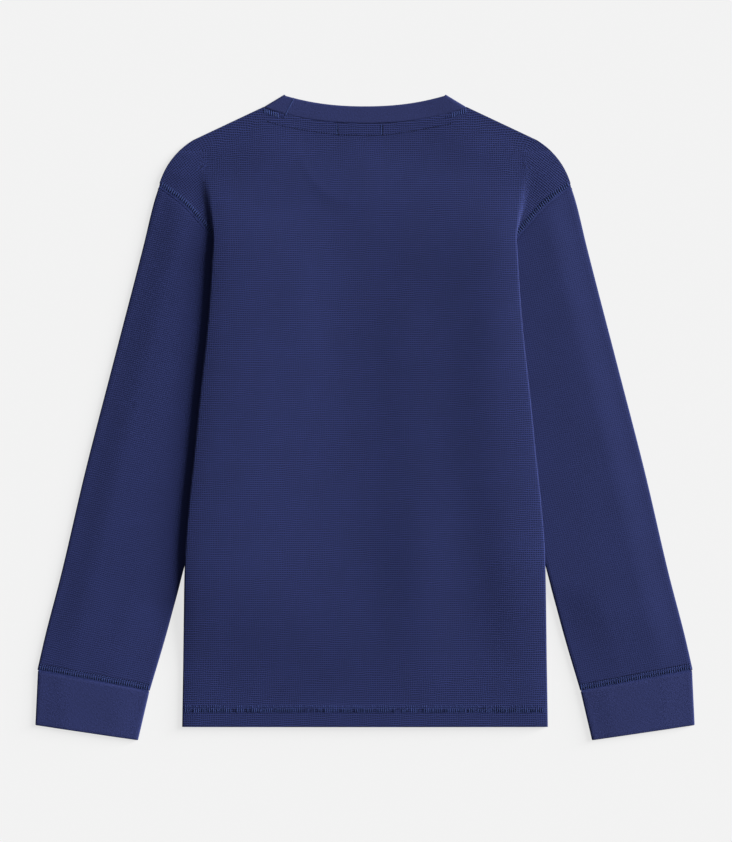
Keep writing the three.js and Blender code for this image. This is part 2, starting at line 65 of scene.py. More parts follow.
# How far apart the pits are across and along the cloth, and over what share of that a rib slopes down.
WAFFLE = {"Column": 2.2, "Row": 2.05, "Rib": 0.36}


def smooth(low, high, value):
    """Rises smoothly from 0 to 1 as value goes from low to high; low may be the larger."""
    share = min(1, max(0, (value - low) / (high - low)))
    return share * share * (3 - 2 * share)


def mix(a, b, share):
    return a + (b - a) * share


def read(table, y):
    """What a table of (height, value) rows gives at a height, as a smooth curve."""
    last = len(table) - 1
    i = next((k for k in range(last) if table[k + 1][0] > y), last - 1)

    def slope(k):
        k = min(max(k, 0), last - 1)
        return (table[k + 1][1] - table[k][1]) / (table[k + 1][0] - table[k][0])

    span = table[i + 1][0] - table[i][0]
    t = min(1, max(0, (y - table[i][0]) / span))
    start, end = (slope(i - 1) + slope(i)) / 2, (slope(i) + slope(i + 1)) / 2
    near = (1 + 2 * t) * (1 - t) ** 2 * table[i][1] + t * (1 - t) ** 2 * span * start
    far = t * t * (3 - 2 * t) * table[i + 1][1] + t * t * (t - 1) * span * end
    return near + far


def neck_curve(middle, end, power, count):
    """Evenly spaced points of half a neck line, from the centre out to its end at the shoulder."""
    fine = [Vector((end.x * k / 200, middle + (end.y - middle) * (k / 200) ** power)) for k in range(201)]
    lengths = [0]
    for a, b in zip(fine, fine[1:]):
        lengths.append(lengths[-1] + (b - a).length)
    points = []
    k = 0
    for n in range(count + 1):
        wanted = lengths[-1] * n / count
        while k < 199 and lengths[k + 1] < wanted:
            k += 1
        share = (wanted - lengths[k]) / (lengths[k + 1] - lengths[k])
        points.append(fine[k].lerp(fine[k + 1], share))
    return points


def shoulder_turn(t):
    """The round end of the shoulder, from the top of the sleeve at 0 to the straight line at 1."""
    return SLEEVE_TOP * (1 - t) ** 2 + SHOULDER_CORNER * 2 * t * (1 - t) + SHOULDER_START * t * t


def lay_grid(bm, columns, rows, place, mirrored):
    """Adds a grid of cloth. place gives the point and the knit's own coordinates of each column and row."""
    made = bmesh.ops.create_grid(bm, x_segments=columns, y_segments=rows, size=0.5)["verts"]
    knit = bm.loops.layers.uv.verify()
    along = {}
    for vert in made:
        column = round((vert.co.x + 0.5) * columns)
        row = round((vert.co.y + 0.5) * rows)
        (x, y, z), (s, t) = place(column, row)
        side = -1 if mirrored else 1
        vert.co = (side * x, y, z)
        along[vert] = (side * s, t)
    faces = {face for vert in made for face in vert.link_faces}
    for face in faces:
        for loop in face.loops:
            loop[knit].uv = along[loop.vert]
    if mirrored:
        bmesh.ops.reverse_faces(bm, faces=list(faces))


def add_piece(bm, name, materials):
    """Brings a mesh to metres in the frame of the solids, and makes it a piece of the garment."""
    bmesh.ops.translate(bm, verts=bm.verts, vec=(0, -MIDDLE_Y, 0))
    bmesh.ops.scale(bm, verts=bm.verts, vec=(0.001, 0.001, 0.001))
    mesh = bpy.data.meshes.new(name)
    bm.to_mesh(mesh)
    bm.free()
    for material in materials:
        mesh.materials.append(material)
    piece = bpy.data.objects.new(name, mesh)
    bpy.context.scene.collection.objects.link(piece)
    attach(piece, "root")
    return piece


def finish_cloth(bm, name, thickness, material, node, round_edge=0.5):
    """Closes a piece of cloth: welds its grids, gives it its thickness and rounds its edges."""
    bmesh.ops.remove_doubles(bm, verts=bm.verts, dist=0.002)
    piece = add_piece(bm, name, [material])
    piece.data.shade_smooth()
    wall = piece.modifiers.new("wall", "SOLIDIFY")
    wall.thickness = thickness / 1000
    wall.offset = 0
    edge = piece.modifiers.new("soft edge", "BEVEL")
    edge.width = round_edge / 1000
    edge.segments = 2
    edge.limit_method = "ANGLE"
    edge.angle_limit = math.radians(60)
    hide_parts(node)
    return piece


def calculator(nodes, links):
    """Gives the function that adds a math node fed by sockets or plain numbers."""
    def calculate(operation, *values, clamp=False):
        node = nodes.new("ShaderNodeMath")
        node.operation = operation
        node.use_clamp = clamp
        for socket, value in zip(node.inputs, values):
            if isinstance(value, (int, float)):
                socket.default_value = value
            else:
                links.new(value, socket)
        return node.outputs[0]
    return calculate


def add_noise(nodes, links, place, scale, detail):
    """Soft uneven spots on the coordinates that place gives."""
    noise = nodes.new("ShaderNodeTexNoise")
    noise.inputs["Scale"].default_value = scale
    noise.inputs["Detail"].default_value = detail
    links.new(place, noise.inputs["Vector"])
    return noise


def add_relief(material, height, strength, depth):
    """Raises the surface by the height that a socket gives, to a depth in metres."""
    nodes, links = material.node_tree.nodes, material.node_tree.links
    relief = nodes.new("ShaderNodeBump")
    relief.inputs["Strength"].default_value = strength
    relief.inputs["Distance"].default_value = depth
    links.new(height, relief.inputs["Height"])
    links.new(relief.outputs["Normal"], nodes["Principled BSDF"].inputs["Normal"])


def knit_group(name, gauge):
    """A new group for a knit: coordinates and gauge go in, and height, pits and fuzz come out."""
    group = bpy.data.node_groups.new(name, "ShaderNodeTree")
    sockets = group.interface
    sockets.new_socket("Knit", in_out="INPUT", socket_type="NodeSocketVector")
    for label, value in gauge.items():
        sockets.new_socket(label, in_out="INPUT", socket_type="NodeSocketFloat").default_value = value
    for label in ("Height", "Pit", "Fuzz"):
        sockets.new_socket(label, in_out="OUTPUT", socket_type="NodeSocketFloat")
    return group, group.nodes.new("NodeGroupInput"), group.nodes.new("NodeGroupOutput")


def waffle_group():
    """A node group for mini waffle knit: square pits between raised ribs, on coordinates in millimetres."""
    group, given, result = knit_group("waffle_knit", WAFFLE)
    nodes, links = group.nodes, group.links
    calculate = calculator(nodes, links)
    # The yarn wanders a little, so no row of pits is quite straight.
    wander = add_noise(nodes, links, given.outputs["Knit"], scale=0.06, detail=2)
    centred = nodes.new("ShaderNodeVectorMath")
    centred.operation = "SUBTRACT"
    centred.inputs[1].default_value = (0.5, 0.5, 0.5)
    links.new(wander.outputs["Color"], centred.inputs[0])
    strayed = nodes.new("ShaderNodeVectorMath")
    strayed.operation = "MULTIPLY_ADD"
    strayed.inputs[1].default_value = (3.5, 3.5, 0)
    links.new(centred.outputs[0], strayed.inputs[0])
    links.new(given.outputs["Knit"], strayed.inputs[2])
    axes = nodes.new("ShaderNodeSeparateXYZ")
    links.new(strayed.outputs[0], axes.inputs[0])

    def rib(coordinate, pitch):
        """1 on the rib between two pits and 0 in the middle of a pit."""
        cells = calculate("DIVIDE", coordinate, given.outputs[pitch])
        inside = calculate("PINGPONG", cells, 0.5)
        edge = calculate("SUBTRACT", given.outputs["Rib"], inside)
        return calculate("DIVIDE", edge, given.outputs["Rib"], clamp=True)

    # The upright ribs are lower than those across, and they run into each other where they cross.
    upright = calculate("MULTIPLY", rib(axes.outputs["X"], "Column"), 0.65)
    height = calculate("SMOOTH_MAX", upright, rib(axes.outputs["Y"], "Row"), 0.35)
    yarn = add_noise(nodes, links, given.outputs["Knit"], scale=1.3, detail=3)
    rough = calculate("MULTIPLY_ADD", yarn.outputs["Fac"], 0.35, height)
    links.new(rough, result.inputs["Height"])
    # The pits are what the material paints darker, as painted shade.
    links.new(calculate("SUBTRACT", 1, height, clamp=True), result.inputs["Pit"])
    links.new(yarn.outputs["Fac"], result.inputs["Fuzz"])
    return group


waffle_knit = waffle_group()


def knit_material(name, dark, light, group, gauge, bump):
    """A dyed knit: its group gives the height and the pits, which are painted darker than the ribs as their
    shade.
    """
    material = bpy.data.materials.new(name)
    material.use_nodes = True
    nodes, links = material.node_tree.nodes, material.node_tree.links
    shader = nodes["Principled BSDF"]
    knit = nodes.new("ShaderNodeUVMap")
    cloth = nodes.new("ShaderNodeGroup")
    cloth.node_tree = group
    links.new(knit.outputs["UV"], cloth.inputs["Knit"])
    for label, value in gauge.items():
        cloth.inputs[label].default_value = value
    # The pits get the dark colour and the ribs the light one: painted shade in the hollows of the knit.
    colour = nodes.new("ShaderNodeValToRGB")
    colour.color_ramp.elements[0].color = (*light, 1)
    colour.color_ramp.elements[1].color = (*dark, 1)
    links.new(cloth.outputs["Pit"], colour.inputs["Fac"])
    # The dye takes a little unevenly over the width of a hand.
    patches = add_noise(nodes, links, knit.outputs["UV"], scale=0.03, detail=3)
    strength = nodes.new("ShaderNodeMapRange")
    strength.inputs["To Min"].default_value = 0.9
    strength.inputs["To Max"].default_value = 1.1
    links.new(patches.outputs["Fac"], strength.inputs["Value"])
    calculate = calculator(nodes, links)
    fuzz = calculate("MULTIPLY_ADD", cloth.outputs["Fuzz"], 0.5, -0.25)
    level = calculate("ADD", strength.outputs["Result"], fuzz)
    # The dyed colour also carries the painted shade of the pits.
    dyed_and_pit_shaded = nodes.new("ShaderNodeVectorMath")
    dyed_and_pit_shaded.operation = "SCALE"
    links.new(colour.outputs["Color"], dyed_and_pit_shaded.inputs[0])
    links.new(level, dyed_and_pit_shaded.inputs["Scale"])
    links.new(dyed_and_pit_shaded.outputs[0], shader.inputs["Base Color"])
    add_relief(material, cloth.outputs["Height"], **bump)
    shader.inputs["Roughness"].default_value = 0.92
    shader.inputs["Specular IOR Level"].default_value = 0.25
    shader.inputs["Sheen Weight"].default_value = 0.12
    shader.inputs["Sheen Roughness"].default_value = 0.5
    shader.inputs["Sheen Tint"].default_value = (0.35, 0.42, 0.75, 1)
    return material


navy_waffle = knit_material(
    "navy_waffle", dark=(0.0031, 0.0054, 0.0320), light=(0.0234, 0.0354, 0.1530), group=waffle_knit,
    gauge=WAFFLE, bump={"strength": 0.9, "depth": 0.0003},
)

# The front is laid in two grids, one below this height and one above it.
FRONT_SPLIT = 489
FRONT_ROWS = {"below": 96, "above": 24}
FRONT_COLUMNS = {"neck": 24, "shoulder": 16}
front_columns = sum(FRONT_COLUMNS.values())
front_neck = neck_curve(FRONT_NECK["seam"], SHOULDER_POINT, FRONT_NECK["power"], FRONT_COLUMNS["neck"])


def front_below(column, row):
    y = FRONT_SPLIT * row / FRONT_ROWS["below"]
    x = (read(SIDE_FOLD, y) - SEAM_GAP) * column / front_columns
    return (x, y, FLOOR_LAYER), (x, y)


def front_top(column):
    """Where a column of the front panel ends: at the neck, along the shoulder or at the sleeve's top."""
    if column <= FRONT_COLUMNS["neck"]:
        return front_neck[column]
    share = (column - FRONT_COLUMNS["neck"]) / FRONT_COLUMNS["shoulder"]
    if share <= 0.5:
        return SHOULDER_POINT.lerp(SHOULDER_START, share * 2)
    return shoulder_turn(2 - 2 * share)


def front_above(column, row):
    v = row / FRONT_ROWS["above"]
    share = column / front_columns
    side = read(SIDE_FOLD, FRONT_SPLIT) - SEAM_GAP
    point = Vector((side * share, FRONT_SPLIT)).lerp(front_top(column), v)
    # The outer columns bend to the curve of the armhole.
    seam_y = mix(FRONT_SPLIT, SLEEVE_TOP.y, v)
    bow = read(ARMHOLE, seam_y) - SEAM_GAP - mix(side, SLEEVE_TOP.x, v)
    x = point.x + bow * share ** 4
    return (x, point.y, FLOOR_LAYER), (x, point.y)


front_mesh = bmesh.new()
for mirrored in (False, True):
    lay_grid(front_mesh, front_columns, FRONT_ROWS["below"], front_below, mirrored)
    lay_grid(front_mesh, front_columns, FRONT_ROWS["above"], front_above, mirrored)
front = finish_cloth(front_mesh, "front_panel", KNIT, navy_waffle, "front")

# Sleeves
# Each sleeve is one piece of the same knit, closed by the underarm seam and set into the armhole. It lies
# flat as a tube of two layers, the lower one on the surface or on the front panel, the upper one running
# in under the side of the body. The rows of its knit follow the outer fold.
SLEEVE_OUTER = [
    (57, 328), (92, 320), (152, 304.5), (257, 280), (362, 253), (482, 222), (527, 211), (541, 206.5),
]
SLEEVE_INNER = [(36, 215.5), (92, 199), (152, 183), ARMHOLE[0]]
UNDERARM = ARMHOLE[0][0]
CUFF_TOP = [Vector((327.4, 56.4)), Vector((215.8, 35.3))]
ARMHOLE_CLEAR = Vector((0.2, -0.25))
SLEEVE_LEAN = math.atan(0.25)
SHOULDER_SLOPE = 0.506
# Below this height the sleeve no longer lies under the side of the body.
SLEEVE_LEAVES = 158
OVER_FRONT = 2.5
LAYER_GAP = 2
LOFT = {"height": 2, "at armhole": 2.4, "body": 3.4, "width": 42, "sleeve width": 36, "least": 0.3}
FOLD_R = 1
PLEAT_TOP = Vector((160, 576))


def inside_outline(x, y):
    """How far a point is inside the shoulder line and the outer fold of the sleeve."""
    fall = SHOULDER_POINT.y - y - SHOULDER_SLOPE * (x - SHOULDER_POINT.x)
    across = (read(SLEEVE_OUTER, y) - x) * math.cos(SLEEVE_LEAN)
    return max(0, min(fall * math.cos(math.atan(SHOULDER_SLOPE)), across))


def on_front(y):
    """The height of the sleeve's lower layer inside the side fold, where the front panel is under it."""
    lifted = smooth(SLEEVE_LEAVES - 42, SLEEVE_LEAVES - 8, y) * (1 - smooth(505, SLEEVE_TOP.y, y))
    return mix(FLOOR_LAYER, OVER_FRONT, lifted)


def sleeve_low(x, y):
    """The lower layer: on the front panel, and soon down on the surface beside it."""
    fold = read(SIDE_FOLD, y)
    return mix(FLOOR_LAYER, on_front(y), smooth(fold + 17, fold + 2, x))


def sleeve_high(x, y):
    """The upper layer: it stays low beside the side fold and rises softly between its edges."""
    inner = read(SLEEVE_INNER, y) if y < SLEEVE_LEAVES else read(SIDE_FOLD, y)
    valley = mix(smooth(0, 50, x - inner), 1, smooth(515, PLEAT_TOP.y, y))
    # The seam of the cuff holds the two layers together.
    towards_cuff = mix(LOFT["least"], 1, smooth(24, 104, y + 0.2 * (x - CUFF_TOP[0].x)))
    height = mix(LOFT["height"], LOFT["at armhole"], smooth(120, 330, y) * smooth(550, 490, y))
    width = mix(LOFT["sleeve width"], LOFT["width"], smooth(480, 560, y))
    raised = height * smooth(0, width, inside_outline(x, y)) * towards_cuff
    return mix(on_front(y), FLOOR_LAYER + raised, valley) + LAYER_GAP


def tube_point(edges, s, t):
    """A point between the four edges of a flat tube: s from the outer fold to the inner, t down it."""
    point = edges["outer"](t) * (1 - s) + edges["inner"](t) * s
    point += edges["start"](s) * (1 - t) + edges["end"](s) * t
    point -= edges["start"](0) * (1 - s) * (1 - t) + edges["start"](1) * s * (1 - t)
    return point - edges["end"](0) * (1 - s) * t - edges["end"](1) * s * t


def tube_rows(edges, low, high, thickness, lean, flat, fold, rows):
    """Rings of a flat tube: its upper layer, the outer fold, its lower layer and the inner fold."""
    across = Vector((math.cos(lean), math.sin(lean)))
    along = Vector((-math.sin(lean), math.cos(lean)))
    sheet = []
    for row in range(rows + 1):
        t = 1 - row / rows
        outer, inner = tube_point(edges, 0, t), tube_point(edges, 1, t)
        inset = (FOLD_R + thickness / 2) / (outer - inner).length
        line = [tube_point(edges, mix(1 - inset, inset, k / flat), t) for k in range(flat + 1)]
        turned = 2 * line[-1].dot(across) + math.pi * FOLD_R
        ring = [((p.x, p.y, high(p.x, p.y)), (p.dot(across), p.dot(along))) for p in line]
        lower = [
            ((p.x, p.y, low(p.x, p.y)), (turned - p.dot(across), p.dot(along))) for p in reversed(line)
        ]

        def bend(centre, tip, way, start):
            top, bottom = high(centre.x, centre.y), low(centre.x, centre.y)
            radius = (top - bottom) / 2
            for k in range(1, fold):
                angle = math.pi * k / fold
                p = centre + (tip - centre).normalized() * radius * math.sin(angle)
                z = (top + bottom) / 2 + way * radius * math.cos(angle)
                ring.append(((p.x, p.y, z), (start + radius * angle, p.dot(along))))

        bend(line[-1], outer, 1, line[-1].dot(across))
        ring.extend(lower)
        bend(line[0], inner, -1, lower[-1][1][0])
        ring.append((ring[0][0], (lower[-1][1][0] + math.pi * FOLD_R, ring[0][1][1])))
        sheet.append(ring)
    return sheet


def lay_sheet(bm, sheet, mirrored):
    lay_grid(bm, len(sheet[0]) - 1, len(sheet) - 1, lambda column, row: sheet[row][column], mirrored)


def sleeve_start(s):
    y = mix(SLEEVE_TOP.y, UNDERARM, s)
    return Vector((read(ARMHOLE, y), y)) + ARMHOLE_CLEAR


def sleeve_side(table, top, bottom):
    def point(t):
        y = mix(top, bottom, t)
        return Vector((read(table, y), y)) + ARMHOLE_CLEAR * (1 - t)
    return point


sleeve_sheet = tube_rows(
    {
        "start": sleeve_start,
        "end": lambda s: CUFF_TOP[0].lerp(CUFF_TOP[1], s) + Vector((0, SEAM_GAP)),
        "outer": sleeve_side(SLEEVE_OUTER, SLEEVE_TOP.y, SLEEVE_OUTER[0][0]),
        "inner": sleeve_side(SLEEVE_INNER, UNDERARM, SLEEVE_INNER[0][0]),
    },
    sleeve_low, sleeve_high, KNIT, SLEEVE_LEAN, flat=44, fold=6, rows=124,
)
# Along the sleeves the knit is pulled a little flatter, so its pits are shallower and their painted shade
# is lighter.
sleeve_waffle = knit_material(
    "navy_waffle_sleeve", dark=(0.0100, 0.0152, 0.0715), light=(0.0170, 0.0256, 0.1120), group=waffle_knit,
    gauge=WAFFLE, bump={"strength": 0.75, "depth": 0.00026},
)
for name, mirrored in (("sleeve_left", True), ("sleeve_right", False)):
    sleeve_mesh = bmesh.new()
    lay_sheet(sleeve_mesh, sleeve_sheet, mirrored)
    sleeve = finish_cloth(sleeve_mesh, name + "_cloth", KNIT, sleeve_waffle, name)

# Cuffs
# Each cuff is a plain jersey of the same yarn, cut double and folded along its lower edge, so that the
# end of the sleeve has a soft round rim. It is sewn to the end of the sleeve all round.
RIB = 1.5
CUFF_END = [Vector((330, 1.7)), Vector((227.2, -13.5))]
CUFF_LEAN = 0.13
CUFF_LOFT = {"height": 0.8, "width": 30}
JERSEY = {"Gauge": 0.9}
JERSEY_LAYERS = {"low": 0.8, "high": 2.8}


def jersey_group():
    """A node group for plain jersey: fine upright columns of stitches, on coordinates in millimetres."""
    group, given, result = knit_group("plain_jersey", JERSEY)
    nodes, links = group.nodes, group.links
    calculate = calculator(nodes, links)
    axes = nodes.new("ShaderNodeSeparateXYZ")
    links.new(given.outputs["Knit"], axes.inputs[0])
    yarn = add_noise(nodes, links, given.outputs["Knit"], scale=0.7, detail=4)
    columns = calculate("DIVIDE", axes.outputs["X"], given.outputs["Gauge"])
    rows = calculate("DIVIDE", axes.outputs["Y"], given.outputs["Gauge"])
    grooves = calculate("MULTIPLY", calculate("PINGPONG", columns, 0.5), 0.5)
    ribs = calculate("MULTIPLY_ADD", calculate("PINGPONG", rows, 0.4), 0.15, grooves)
    height = calculate("MULTIPLY_ADD", yarn.outputs["Fac"], 0.8, ribs)
    links.new(height, result.inputs["Height"])
    # The grooves and the lower yarn are what the material paints darker: painted shade, with some uneven
    # tone of the yarn.
    links.new(calculate("SUBTRACT", 1, height), result.inputs["Pit"])
    links.new(yarn.outputs["Fac"], result.inputs["Fuzz"])
    return group


plain_jersey = jersey_group()
navy_jersey = knit_material(
    "navy_jersey", dark=(0.0098, 0.0146, 0.0640), light=(0.0240, 0.0326, 0.1290), group=plain_jersey,
    gauge=JERSEY, bump={"strength": 0.7, "depth": 0.0005},
)


def cuff_low(x, y):
    return JERSEY_LAYERS["low"]


def cuff_high(x, y):
    lean = (CUFF_END[1].x - CUFF_TOP[1].x) / (CUFF_TOP[1].y - CUFF_END[1].y)
    inner = CUFF_TOP[1].x + lean * (CUFF_TOP[1].y - y)
    sides = [smooth(0, CUFF_LOFT["width"], inside) for inside in (CUFF_TOP[0].x - x, x - inner)]
    return JERSEY_LAYERS["high"] + CUFF_LOFT["height"] * math.prod(sides)


cuff_sheet = tube_rows(
    {
        "start": lambda s: CUFF_TOP[0].lerp(CUFF_TOP[1], s),
        "end": lambda s: CUFF_END[0].lerp(CUFF_END[1], s),
        "outer": lambda t: CUFF_TOP[0].lerp(CUFF_END[0], t),
        "inner": lambda t: CUFF_TOP[1].lerp(CUFF_END[1], t),
    },
    cuff_low, cuff_high, RIB, CUFF_LEAN, flat=36, fold=6, rows=16,
)
for name, mirrored in (("cuff_left", True), ("cuff_right", False)):
    cuff_mesh = bmesh.new()
    lay_sheet(cuff_mesh, cuff_sheet, mirrored)
    cuff = finish_cloth(cuff_mesh, name + "_cloth", RIB, navy_jersey, name, round_edge=0.7)

# Back panel
# The back is one piece of waffle knit, laid over all the rest. At each side it climbs over the sleeve,
# turns under at the side fold and runs back to the side seam. Over the sleeve's top it makes a pleat,
# from the shoulder down to the armhole seam, and its outer end goes on flat to that seam.
SIDE_R = 1.2
FOLD_ROUNDING = 16
# The pleat's lower end, and at heights above it where its crest is and how wide it is.
PLEAT_END = 466
PLEAT_START = [(466, 150.9), (491, 149.6), (505, 150.8), (518, 151.6), (533, 152.8), (545, 154), (576, 158)]
PLEAT_WIDTH = [(491, 2.4), (505, 5), (518, 9), (533, 12), (545, 13), (576, 14)]
# Up to this height the fold covers the armhole seam beside it.
PLEAT_COVERED = 491
# The turned-up hem makes the cloth higher, with a small step at its edge.
HEM_DEPTH = 21
HEM_STEP = 0.8
HEM_RISE = 0.4
BACK_REST = FLOOR_LAYER + LAYER_GAP
BACK_IN_NECK = 2.1
FOLD_OVER_SLEEVE = OVER_FRONT + LAYER_GAP + 4 * SIDE_R + 2
FOLD_AT_HEM = 3.4
BACK_NECK = {"seam": 603.5, "power": 2.25}
NECK_EDGE = {"front": 539, "front power": 3.4, "back": 621, "back power": 2.2}
NECK_PEAK = Vector((80.5, 633))
# The soft ridges run from x0, y0 to x1, y1. The last two numbers are their width and height.
BACK_FOLDS = [
    (-66, 490, -60, 300, 20, 0.4),
    (38, 470, 42, 290, 32, 1.4),
    (44, 300, 62, 20, 34, 2.3),
    (128, 500, 124, 260, 26, 1.2),
    (132, 280, 152, 50, 26, 1.3),
]
# The columns of the shoulder are the outer ones of the main part, and the wing lies beyond the pleat.
BACK_COLUMNS = {"main": 56, "shoulder": 20, "bend": 8, "return": 10, "wing": 14}
BACK_ROWS = {"hem": 8, "side": 110, "pleat": 24, "shoulder": 18}


def soft_folds(x, y):
    """How far the soft ridges of the back raise it at a point."""
    total = 0
    for x0, y0, x1, y1, width, height in BACK_FOLDS:
        along = Vector((x1 - x0, y1 - y0))
        start = Vector((x - x0, y - y0))
        t = min(1, max(0, start.dot(along) / along.length_squared))
        away = (start - along * t).length / width
        total += height * math.exp(-away * away) * math.sin(math.pi * min(0.88, max(0.12, t)))
    return total


def fold_top(y):
    """The height of the cloth where it starts to turn over."""
    if y < PLEAT_END:
        return mix(FOLD_AT_HEM, FOLD_OVER_SLEEVE, smooth(50, 165, y))
    shoulder = free_height(1, read(PLEAT_START, PLEAT_TOP.y), PLEAT_TOP.y)
    return mix(FOLD_OVER_SLEEVE, shoulder, smooth(PLEAT_END, PLEAT_TOP.y, y))


def pleat_depth(y):
    """How far the pleat falls from its crest to the sleeve or the shoulder beside it."""
    return max(0, fold_top(y) - sleeve_high(read(PLEAT_START, y) + read(PLEAT_WIDTH, y), y))


def fold_turn(y):
    """How far the cloth has turned over at the side fold: half a turn, and a quarter at the hem."""
    if y < PLEAT_END:
        return math.pi * mix(0.5, 1, smooth(60, 150, y))
    if y < PLEAT_COVERED:
        return math.pi * mix(1, 0.5, smooth(PLEAT_END, PLEAT_COVERED, y))
    return min(math.pi / 2, 2 * math.atan(pleat_depth(y) / read(PLEAT_WIDTH, y)))


def fold_radius(y):
    if y < PLEAT_END:
        return mix(FOLD_R, SIDE_R, smooth(60, 150, y))
    return SIDE_R if y < PLEAT_COVERED else read(PLEAT_WIDTH, y) / 2 / max(0.01, math.sin(fold_turn(y)))


def fold_start(y):
    if y >= PLEAT_END:
        return read(PLEAT_START, y)
    return read(SIDE_FOLD, y) - (fold_radius(y) + KNIT / 2)


def fold_return(y):
    """How far the cloth runs on, down or back under the body, after it has turned."""
    if y < PLEAT_END:
        return max(0.6, fold_start(y) - (read(ARMHOLE, y) if y > UNDERARM else read(SLEEVE_INNER, y)))
    if y >= PLEAT_COVERED:
        return max(0, pleat_depth(y) - read(PLEAT_WIDTH, y))
    deepest = fold_start(PLEAT_END) - read(ARMHOLE, PLEAT_END)
    room = pleat_depth(y) - 2 * SIDE_R * (1 - math.cos(fold_turn(y)))
    return min(deepest, room / max(0.02, math.sin(fold_turn(y))))


def free_height(side, x, y):
    """The back away from the sleeves. It sinks a little into the front neck opening under it."""
    share = min(1, x / NECK_PEAK.x)
    front_line = mix(NECK_EDGE["front"], NECK_PEAK.y, share ** NECK_EDGE["front power"])
    share = min(1, x / SHOULDER_POINT.x)
    back_line = mix(BACK_NECK["seam"], SHOULDER_POINT.y, share ** BACK_NECK["power"])
    opening = smooth(75, 0, back_line - y) * smooth(150, 50, x)
    hem = mix(LOFT["least"], 1, smooth(0, 110, y))
    inside = inside_outline(x, y)
    raised = LOFT["height"] * smooth(0, LOFT["width"], inside) + LOFT["body"] * smooth(20, 170, inside)
    raised += soft_folds(side * x, y)
    # The seam of the front's band, which lies under the back, shows as a faint ridge.
    raised += 0.4 * math.exp(-((y - front_line + 14) / 6) ** 2) * smooth(92, 60, x)
    turned_up = HEM_RISE * smooth(HEM_DEPTH + HEM_STEP, HEM_DEPTH - HEM_STEP, y)
    return mix(BACK_REST + raised * hem, BACK_IN_NECK, opening) + turned_up


def main_height(side, x, y):
    """The back inside its side fold, which climbs over the sleeve."""
    start = fold_start(y)
    turning = max(0, (x - start) / FOLD_ROUNDING + 1)
    crown = 0.5 * smooth(40, start - FOLD_ROUNDING, x) * (1 - turning * turning)
    crown *= smooth(PLEAT_TOP.y, 500, y)
    climb = (fold_top(y) - free_height(side, start, y)) * smooth(10, start, x)
    return free_height(side, x, y) + climb + crown


def knit_at(x, y):
    """The knit's own coordinates. Beyond the pleat the cloth is turned about the pleat's top."""
    away = Vector((x, y)) - PLEAT_TOP
    turned = math.radians(-38) * smooth(-80, 75, math.degrees(math.atan2(away.x, away.y)))
    c, s = math.cos(turned), math.sin(turned)
    return PLEAT_TOP.x + away.x * c + away.y * s, PLEAT_TOP.y - away.x * s + away.y * c


def side_section(y, out_to):
    """From the side fold over, back under it, and where there is a pleat out again to the armhole."""
    count = BACK_COLUMNS
    turn, radius, back = fold_turn(y), fold_radius(y), fold_return(y)
    start, top = fold_start(y), fold_top(y)
    section = []
    for k in range(1, count["bend"] + 1):
        angle = turn * k / count["bend"]
        x, z = start + radius * math.sin(angle), top - radius * (1 - math.cos(angle))
        section.append(((x, y, z), (start + radius * angle, y)))
    bent, reach = section[-1][0], start + radius * turn
    for k in range(1, count["return"] + 1):
        length = back * k / count["return"]
        # Under the body it sinks a little towards its end, onto the inner fold of the sleeve.
        sink = 1.4 * smooth(PLEAT_END - 6, 400, y) * smooth(100, 170, y) * (k / count["return"]) ** 2
        x, z = bent[0] + length * math.cos(turn), bent[2] - length * math.sin(turn) - sink
        section.append(((x, y, z), (reach + length, y)))
    if out_to is None:
        return section
    inner = section[-1][0]
    centre = (inner[0] + radius * math.sin(turn), inner[2] + radius * math.cos(turn))
    for k in range(1, count["bend"] + 1):
        angle = turn * (1 - k / count["bend"])
        x, z = centre[0] - radius * math.sin(angle), centre[1] - radius * math.cos(angle)
        section.append(((x, y, z), knit_at(x, y)))
    out = section[-1][0]
    for k in range(1, count["wing"] + 1):
        share = k / count["wing"]
        x = mix(out[0], max(out[0], out_to), share)
        section.append(((x, y, mix(out[2], sleeve_high(x, y), share)), knit_at(x, y)))
    return section


def back_row(side, y, out_to):
    row = []
    for k in range(BACK_COLUMNS["main"] + 1):
        x = fold_start(y) * k / BACK_COLUMNS["main"]
        row.append(((x, y, main_height(side, x, y)), (x, y)))
    return row + side_section(y, out_to)


def shoulder_outer(y):
    """How far out the round end of the shoulder is at a height."""
    low, high = 0, 1
    for _ in range(30):
        middle = (low + high) / 2
        low, high = (middle, high) if shoulder_turn(middle).y < y else (low, middle)
    return shoulder_turn(low).x


def back_top():
    """Where the columns of the back end: along the neck, the shoulder and its round end."""
    straight, wing = BACK_COLUMNS["shoulder"], BACK_COLUMNS["wing"]
    neck_columns = BACK_COLUMNS["main"] - straight
    points = neck_curve(BACK_NECK["seam"], SHOULDER_POINT, BACK_NECK["power"], neck_columns)
    points += [SHOULDER_POINT.lerp(SHOULDER_START, k / straight) for k in range(1, straight + 1)]
    start = next(t / 200 for t in range(201) if shoulder_turn(t / 200).y >= PLEAT_TOP.y)
    return points + [shoulder_turn(mix(1, start, k / wing)) for k in range(1, wing + 1)]


